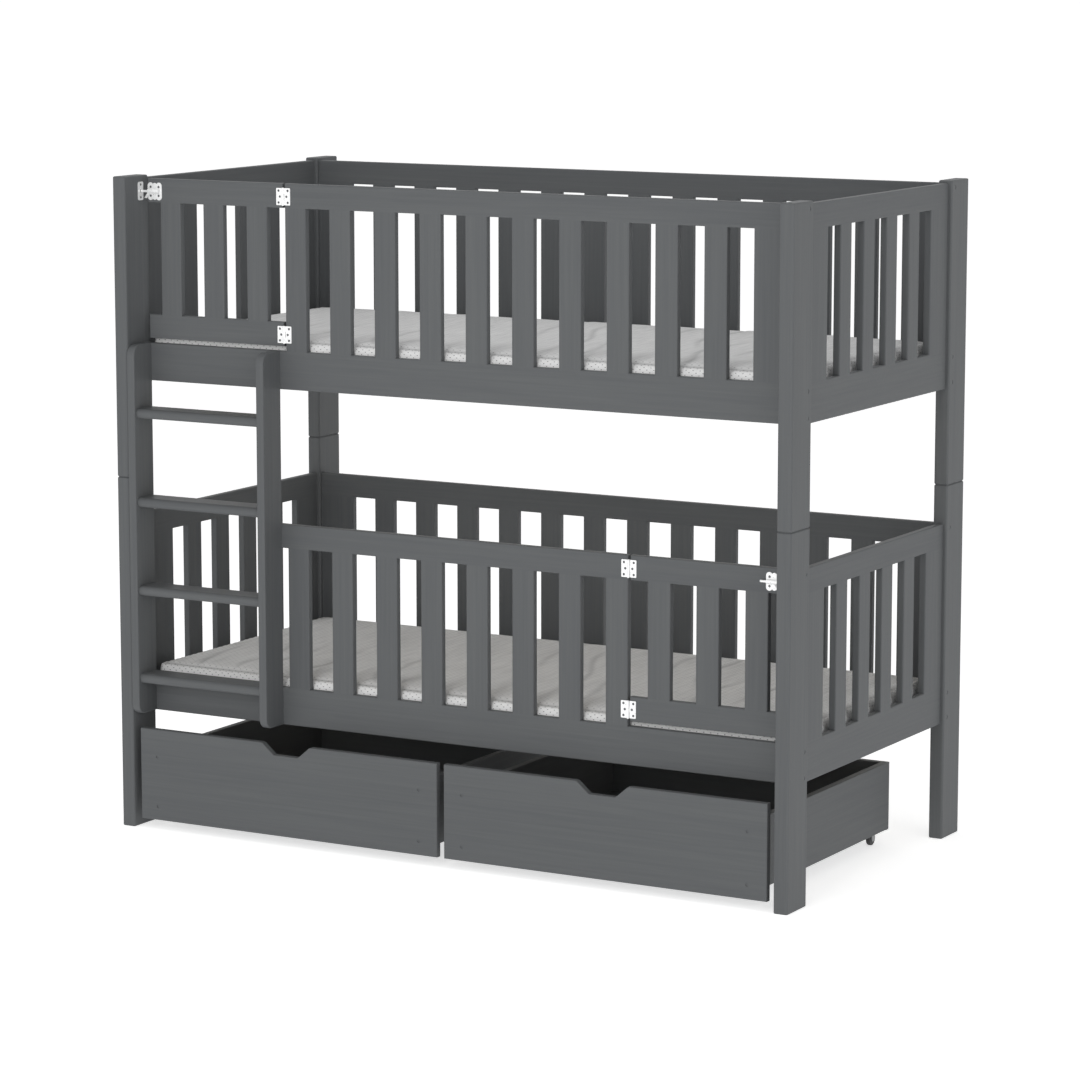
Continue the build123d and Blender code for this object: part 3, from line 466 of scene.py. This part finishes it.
# Painted shade: the crease valleys and the top seam are mixed towards a darker grey (#8F8F90).
painted_crease_shade = add_node(tree, "ShaderNodeAttribute", attribute_name="painted_crease_shade")
crease_shade_amount = add_node(tree, "ShaderNodeMapRange", {"Value": painted_crease_shade.outputs["Fac"], "To Max": 0.55})
crease_shaded = add_node(tree, "ShaderNodeMix", {
    "Factor": crease_shade_amount.outputs["Result"], "A": flecked.outputs["Result"], "B": linear("#8F8F90")},
    data_type="RGBA")
relief = add_node(tree, "ShaderNodeBump", {
    "Height": fibres.outputs["Fac"], "Strength": 0.4, "Distance": knit_relief})
finish_material(tree, {
    "Base Color": crease_shaded.outputs["Result"], "Roughness": 0.88, "Specular IOR Level": 0.2,
    "Sheen Weight": 0.2, "Normal": relief.outputs["Normal"]})

cover.materials.append(knit)
for level, lift in (("lower", 0.0), ("upper", mattress_lift)):
    mesh = cover.copy()
    mesh.transform(Matrix.Translation((0.0, 0.0, lift)))
    mattress = new_object(f"{level}_sewn_mattress", mesh)
    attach(mattress, "frame")
    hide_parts(f"{level}_mattress")

# Ladder: two upright stringers and four round-nosed rungs housed in them, in the same painted
# pine. The rungs' grain runs level from stringer to stringer.

dress(upright_pine, "ladder_stringers")
rung_streaks = (3.2, 140.0, 140.0)
rung_pine = painted_pine("grey painted pine, rungs", rung_streaks)
dress(rung_pine, "ladder_rungs")

# Gates: small framed panels of the same boards as the guards, hung beside the front posts.

for level in ("lower", "upper"):
    dress(level_pine, f"{level}_gate_rails")
    dress(upright_pine, f"{level}_gate_slats")

# Hinges and latches: pressed steel with a bright zinc coat, almost white under soft light. The
# coat is smooth, with faint cloudy patches from plating and hair-fine rubbing marks.

zinc, tree = new_material("bright zinc plate")
place = add_node(tree, "ShaderNodeTexCoord").outputs["Object"]
clouds = add_node(tree, "ShaderNodeTexNoise", {"Vector": place, "Scale": 170.0, "Detail": 3.0})
rub_marks = (90.0, 90.0, 1400.0)
rubbed_place = add_node(tree, "ShaderNodeMapping", {"Vector": place, "Scale": rub_marks})
rubbed = add_node(tree, "ShaderNodeTexNoise", {
    "Vector": rubbed_place.outputs["Vector"], "Scale": 1.0, "Detail": 2.0})
plating = add_node(tree, "ShaderNodeMix", {
    "Factor": clouds.outputs["Fac"], "A": linear("#F0F1F1"), "B": linear("#FCFCFC")}, data_type="RGBA")
polish = add_node(tree, "ShaderNodeMapRange", {
    "Value": clouds.outputs["Fac"], "From Min": 0.3, "From Max": 0.7, "To Min": 0.26, "To Max": 0.4})
marks = add_node(tree, "ShaderNodeBump", {
    "Height": rubbed.outputs["Fac"], "Strength": 0.12, "Distance": 0.0002})
finish_material(tree, {
    "Base Color": plating.outputs["Result"], "Metallic": 0.35, "Roughness": polish.outputs["Result"],
    "Normal": marks.outputs["Normal"]})
dress(zinc, "hinge_frame_leaves", "upper_gate_hinge_leaves", "lower_gate_hinge_leaves", "hinge_pins",
      "upper_latch_case", "lower_latch_case", "upper_latch_bolt", "lower_latch_bolt", "latch_keepers")

# Screws: countersunk steel screws with cross recesses, through the hinges, latches and keepers and
# from inside the front rails into the ladder. Each was driven home at its own angle.

steel, tree = new_material("dull steel screw")
place = add_node(tree, "ShaderNodeTexCoord").outputs["Object"]
tarnish = add_node(tree, "ShaderNodeTexNoise", {"Vector": place, "Scale": 900.0, "Detail": 2.0})
metal = add_node(tree, "ShaderNodeMix", {
    "Factor": tarnish.outputs["Fac"], "A": linear("#58595B"), "B": linear("#7A7B7D")}, data_type="RGBA")
finish_material(tree, {"Base Color": metal.outputs["Result"], "Metallic": 0.9, "Roughness": 0.42})


def screw_head():
    """One screw of unit head radius, pointing down Z, with a cross recess and a short shank."""
    sides_count = 24
    cross, arm = 0.62, 0.17
    taper, recess_floor, mouth_height = 0.8, -0.34, 0.06
    profile = ((1.0, -0.02), (0.97, 0.03), (0.53, -0.47), (0.53, -1.6))
    bolt = bmesh.new()
    outline = [(cross, -arm), (cross, arm), (arm, arm), (arm, cross), (-arm, cross), (-arm, arm),
               (-cross, arm), (-cross, -arm), (-arm, -arm), (-arm, -cross), (arm, -cross), (arm, -arm)]
    rings = []
    for radius, height in profile:
        rings.append([bolt.verts.new((radius * math.cos(2 * math.pi * i / sides_count),
                                      radius * math.sin(2 * math.pi * i / sides_count), height))
                      for i in range(sides_count)])
    mouth = [bolt.verts.new((x, y, mouth_height)) for x, y in outline]
    floor_ring = [bolt.verts.new((x * taper, y * taper, recess_floor)) for x, y in outline]
    for low, high in ((rings[0], rings[1]), (rings[2], rings[0]), (rings[3], rings[2])):
        for i in range(sides_count):
            j = (i + 1) % sides_count
            bolt.faces.new((low[i], low[j], high[j], high[i]))
    bolt.faces.new(list(reversed(rings[3])))
    for i in range(len(outline)):
        j = (i + 1) % len(outline)
        bolt.faces.new((mouth[j], mouth[i], floor_ring[i], floor_ring[j]))
    bolt.faces.new(floor_ring)
    edges = [bolt.edges.get((ring[i], ring[(i + 1) % len(ring)])) or
             bolt.edges.new((ring[i], ring[(i + 1) % len(ring)]))
             for ring in (rings[1], mouth) for i in range(len(ring))]
    bmesh.ops.triangle_fill(bolt, edges=edges, use_beauty=True, normal=(0, 0, 1))
    bmesh.ops.recalc_face_normals(bolt, faces=bolt.faces)
    mesh = bpy.data.meshes.new("screw head")
    bolt.to_mesh(mesh)
    bolt.free()
    return new_object("screw head", mesh)


def solid_rods(name):
    """Head centre, outward direction and head radius of each rod-like solid of a CAD node."""
    copy = bmesh.new()
    copy.from_mesh(nodes[name].data)
    bmesh.ops.remove_doubles(copy, verts=copy.verts, dist=1e-6)
    seen, rods = set(), []
    for vertex in copy.verts:
        if vertex in seen:
            continue
        group, queue = [], [vertex]
        seen.add(vertex)
        while queue:
            here = queue.pop()
            group.append(here.co.copy())
            for edge in here.link_edges:
                other = edge.other_vert(here)
                if other not in seen:
                    seen.add(other)
                    queue.append(other)
        points = np.array(group)
        low, high = points.min(0), points.max(0)
        axis = int(np.argmax(high - low))
        across_axes = [i for i in range(3) if i != axis]
        middle = (low + high) / 2
        spread = np.abs(points[:, across_axes] - middle[across_axes]).max(1)
        head = points[np.argmax(spread)][axis]
        way = 1.0 if head > middle[axis] else -1.0
        centre = middle.copy()
        centre[axis] = high[axis] if way > 0 else low[axis]
        direction = np.zeros(3)
        direction[axis] = way
        rods.append((centre, direction, spread.max()))
    copy.free()
    return rods


def screw_tree():
    """Geometry nodes that set a screw on every point, turned to its axis and spun by a fixed seed."""
    group = bpy.data.node_groups.new("driven screws", "GeometryNodeTree")
    sockets = group.interface
    sockets.new_socket("Geometry", in_out="INPUT", socket_type="NodeSocketGeometry")
    sockets.new_socket("Head", in_out="INPUT", socket_type="NodeSocketObject")
    sockets.new_socket("Spin Seed", in_out="INPUT", socket_type="NodeSocketInt")
    sockets.new_socket("Finish", in_out="INPUT", socket_type="NodeSocketMaterial")
    sockets.new_socket("Geometry", in_out="OUTPUT", socket_type="NodeSocketGeometry")
    given = add_node(group, "NodeGroupInput").outputs
    outward = add_node(group, "GeometryNodeInputNamedAttribute", {"Name": "outward"},
                       data_type="FLOAT_VECTOR")
    radius = add_node(group, "GeometryNodeInputNamedAttribute", {"Name": "head_radius"},
                      data_type="FLOAT")
    facing = add_node(group, "FunctionNodeAlignRotationToVector", {
        "Vector": outward.outputs["Attribute"]}, axis="Z")
    spin = add_node(group, "FunctionNodeRandomValue", {"Seed": given["Spin Seed"]}, data_type="FLOAT")
    turn = calculate(group, "MULTIPLY", spin.outputs[1], math.pi / 2)
    own_turn = add_node(group, "FunctionNodeAxisAngleToRotation", {
        "Axis": (0.0, 0.0, 1.0), "Angle": turn})
    rotation = add_node(group, "FunctionNodeRotateRotation", {
        "Rotation": facing.outputs["Rotation"], "Rotate By": own_turn.outputs["Rotation"]},
        rotation_space="LOCAL")
    head_mesh = add_node(group, "GeometryNodeObjectInfo", {"Object": given["Head"]})
    driven = add_node(group, "GeometryNodeInstanceOnPoints", {
        "Points": given["Geometry"], "Instance": head_mesh.outputs["Geometry"],
        "Rotation": rotation.outputs["Rotation"], "Scale": radius.outputs["Attribute"]})
    real = add_node(group, "GeometryNodeRealizeInstances", {"Geometry": driven.outputs["Instances"]})
    coated = add_node(group, "GeometryNodeSetMaterial", {
        "Geometry": real.outputs["Geometry"], "Material": given["Finish"]})
    add_node(group, "NodeGroupOutput", {"Geometry": coated.outputs["Geometry"]})
    return group


def set_input(modifier, name, value):
    """Sets a geometry nodes modifier's input by the name that its socket shows."""
    for item in modifier.node_group.interface.items_tree:
        if item.item_type == "SOCKET" and item.in_out == "INPUT" and item.name == name:
            modifier[item.identifier] = value


head_object = screw_head()
driven_screws = screw_tree()
first_spin_seed = 7
for seed, (name, body) in enumerate((("frame_screws", "frame"), ("upper_gate_screws", "upper_gate"),
                                     ("lower_gate_screws", "lower_gate"))):
    rods = solid_rods(name)
    points = bpy.data.meshes.new(name + "_heads")
    points.from_pydata([tuple(centre) for centre, _, _ in rods], [], [])
    outward = points.attributes.new("outward", "FLOAT_VECTOR", "POINT")
    outward.data.foreach_set("vector", np.array([way for _, way, _ in rods]).ravel())
    radii = points.attributes.new("head_radius", "FLOAT", "POINT")
    radii.data.foreach_set("value", [radius for _, _, radius in rods])
    screws = new_object(name + "_heads", points)
    modifier = screws.modifiers.new("driven", "NODES")
    modifier.node_group = driven_screws
    set_input(modifier, "Head", head_object)
    set_input(modifier, "Spin Seed", first_spin_seed + seed)
    set_input(modifier, "Finish", steel)
    bpy.context.view_layer.update()
    plain = shaped_mesh(screws)
    screws.modifiers.clear()
    screws.data = plain
    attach(screws, body)
    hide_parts(name)
bpy.data.objects.remove(head_object)

# Drawers: painted pine fronts with a finger grip, side walls and a back board joined by dowels,
# and a thin painted panel let into a groove all round.

panel_streaks = (3.2, 90.0, 90.0)
drawer_panel = painted_pine("grey painted panel, drawer floors", panel_streaks)
for side in ("left", "right"):
    dress(level_pine, f"{side}_drawer_front", f"{side}_drawer_walls")
    dress(drawer_panel, f"{side}_drawer_floor")

# Castors: grey moulded nylon forks with hard black wheels. The nylon has a fine spark-eroded
# texture; the treads are dusty and a little scuffed.

nylon, tree = new_material("moulded grey nylon")
place = add_node(tree, "ShaderNodeTexCoord").outputs["Object"]
spark = add_node(tree, "ShaderNodeTexNoise", {"Vector": place, "Scale": 1100.0, "Detail": 2.0})
shade = add_node(tree, "ShaderNodeMix", {
    "Factor": spark.outputs["Fac"], "A": linear("#8C8D8E"), "B": linear("#9A9B9C")}, data_type="RGBA")
relief = add_node(tree, "ShaderNodeBump", {
    "Height": spark.outputs["Fac"], "Strength": 0.25, "Distance": 0.0003})
finish_material(tree, {
    "Base Color": shade.outputs["Result"], "Roughness": 0.5, "Normal": relief.outputs["Normal"]})

tread, tree = new_material("hard black polyurethane")
place = add_node(tree, "ShaderNodeTexCoord").outputs["Object"]
scuff = add_node(tree, "ShaderNodeTexNoise", {
    "Vector": place, "Scale": 260.0, "Detail": 4.0, "Roughness": 0.7})
dust = add_node(tree, "ShaderNodeMix", {
    "Factor": scuff.outputs["Fac"], "A": linear("#141415"), "B": linear("#2B2B2D")}, data_type="RGBA")
wear = add_node(tree, "ShaderNodeMapRange", {
    "Value": scuff.outputs["Fac"], "From Min": 0.3, "From Max": 0.7, "To Min": 0.38, "To Max": 0.6})
finish_material(tree, {"Base Color": dust.outputs["Result"], "Roughness": wear.outputs["Result"]})
for side in ("left", "right"):
    dress(nylon, f"{side}_drawer_castor_brackets")
    dress(tread, f"{side}_drawer_front_wheels", f"{side}_drawer_back_wheels")

# Studio: a plain white floor that reaches far past the view and is lit from below like a light
# table, inside a white surround that lights the bed more weakly than it looks. Three large soft
# lamps stand on the right, in front and above.

floor_reach = 220.0
floor_mesh = bpy.data.meshes.new("studio floor")
floor_mesh.from_pydata(
    [(-floor_reach, -floor_reach, 0), (floor_reach, -floor_reach, 0),
     (floor_reach, floor_reach, 0), (-floor_reach, floor_reach, 0)], [], [(0, 1, 2, 3)])
floor = new_object("studio_floor", floor_mesh)
paper, tree = new_material("backlit white studio floor")
finish_material(tree, {
    "Base Color": linear("#F7F7F7"), "Roughness": 0.95, "Specular IOR Level": 0.1,
    "Emission Color": (1.0, 1.0, 1.0, 1.0), "Emission Strength": 0.6})
floor_mesh.materials.append(paper)

surround = bpy.data.worlds.new("white surround")
surround.use_nodes = True
surround.node_tree.nodes.clear()
seen_by = add_node(surround.node_tree, "ShaderNodeLightPath")
dimmed = add_node(surround.node_tree, "ShaderNodeMapRange", {
    "Value": seen_by.outputs["Is Diffuse Ray"], "To Min": 1.05, "To Max": 0.45})
glow = add_node(surround.node_tree, "ShaderNodeBackground", {
    "Color": (1.0, 1.0, 1.0, 1.0), "Strength": dimmed.outputs["Result"]})
add_node(surround.node_tree, "ShaderNodeOutputWorld", {"Surface": glow.outputs["Background"]})
bpy.context.scene.world = surround

lamp_width = 3.0
lamp_aim = Vector((0, 0, 0.8))
for name, power, spot in (("right lamp", 50.0, (6.5, -1.5, 1.6)),
                          ("front lamp", 120.0, (0.5, -6.5, 3.0)),
                          ("top lamp", 20.0, (0.0, -0.2, 4.2))):
    lamp = bpy.data.lights.new(name, "AREA")
    lamp.energy = power
    lamp.size = lamp_width
    holder = new_object(name, lamp)
    holder.location = spot
    holder.rotation_euler = (lamp_aim - Vector(spot)).to_track_quat("-Z", "Y").to_euler()

bpy.context.scene.view_settings.view_transform = "Standard"

# Camera: a long lens in front of the bed's right end and a little above it, as in the photograph.

look_down = 8.98944
turned = 29.51962
camera_data = bpy.data.cameras.new("camera")
camera_data.lens = 132.289
camera_data.sensor_width = 36.0
camera_data.clip_end = 1000.0
camera = new_object("camera", camera_data)
camera.location = (4.85208, -8.56287, 2.29805)
camera.rotation_euler = Euler((math.radians(90 - look_down), 0.0, math.radians(turned)))
bpy.context.scene.camera = camera
